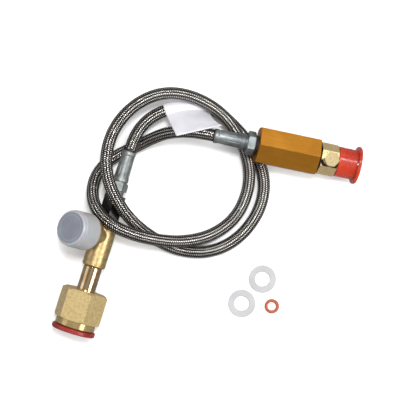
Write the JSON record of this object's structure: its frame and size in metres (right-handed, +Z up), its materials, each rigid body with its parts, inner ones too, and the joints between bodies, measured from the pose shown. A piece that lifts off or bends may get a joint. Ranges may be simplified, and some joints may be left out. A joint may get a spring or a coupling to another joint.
{
  "type": "braided gas hose with tank nut and valve housing",
  "caption": "Stainless-braided gas hose in two loose loops: brass tank nut, tee and capped side outlet on one end, gold hexagonal valve housing on the other, with spare washers.",
  "frame": {"origin": "on the floor, under the middle of the box round the two end assemblies and the loose spares", "axes": "+X along the longest side of the layout, from the tank end to the machine end; +Y from the loose spares towards the top of the loops; +Z up"},
  "size_m": [0.2135, 0.1722, 0.0511],
  "materials": {
    "braid": "woven stainless wire, oily grey with bright crossings",
    "zinc": "zinc-plated steel, satin",
    "gold_anodise": "gold anodised aluminium, satin",
    "valve_brass": "turned brass, satin",
    "tee_brass": "turned brass, bright",
    "nut_brass": "pale turned brass, satin",
    "nipple_brass": "polished brass, coppery",
    "black_steel": "blackened steel, gloss",
    "steel": "drawn steel, bright",
    "red_plastic": "soft moulded polyethylene, slight gloss",
    "clear_plastic": "milky translucent polyethylene",
    "label": "smooth white film label, bare",
    "nylon": "white moulded nylon",
    "orange_rubber": "soft orange-red rubber",
    "black_rubber": "black nitrile rubber",
    "inner_rubber": "smooth black inner hose"
  },
  "bodies": {
    "hose_and_fittings": {"hose_upper": "braid", "hose_floor": "braid", "hose_tank_side": "braid", "tag": "label", "machine_ferrule": "zinc", "machine_hose_tail": "inner_rubber", "machine_stem": "zinc", "stem_seal": "black_rubber", "valve_housing": "gold_anodise", "outlet_valve": "valve_brass", "burst_gasket": "black_rubber", "burst_disc": "steel", "burst_plug": "valve_brass", "spring_keeper": "valve_brass", "outlet_seal": "black_rubber", "tank_ferrule": "zinc", "tank_hose_tail": "inner_rubber", "tank_stem": "zinc", "coupling": "black_steel", "tee_body": "tee_brass", "side_outlet": "tee_brass", "tank_nipple": "nipple_brass", "spare_washers": "nylon", "spare_o_ring": "orange_rubber"},
    "nut": {"tank_nut": "nut_brass"},
    "plug": {"nut_plug": "red_plastic"},
    "outlet_cap": {"side_cap": "clear_plastic"},
    "end_cap": {"machine_cap": "red_plastic"},
    "pin": {"valve_pin": "steel", "valve_spring": "steel"}
  },
  "joints": [
    {"name": "tank_nut_spin", "type": "hinge", "parent": "hose_and_fittings", "child": "nut", "pos_m": [-0.08683, -0.05084, 0.01567], "axis": [-0.2999, -0.9539, 0.0105], "continuous": true},
    {"name": "nut_plug_pull", "type": "slide", "parent": "nut", "child": "plug", "axis": [-0.2999, -0.9539, 0.0105], "range_m": [0, 0.016]},
    {"name": "side_cap_pull", "type": "slide", "parent": "hose_and_fittings", "child": "outlet_cap", "axis": [-0.5309, 0.176, 0.829], "range_m": [0, 0.018]},
    {"name": "machine_cap_pull", "type": "slide", "parent": "hose_and_fittings", "child": "end_cap", "axis": [0.9732, -0.198, -0.1167], "range_m": [0, 0.016]},
    {"name": "valve_pin_press", "type": "slide", "parent": "hose_and_fittings", "child": "pin", "axis": [-0.9732, 0.198, 0.1167], "range_m": [0, 0.002], "stiffness_N_per_m": 600}
  ]
}
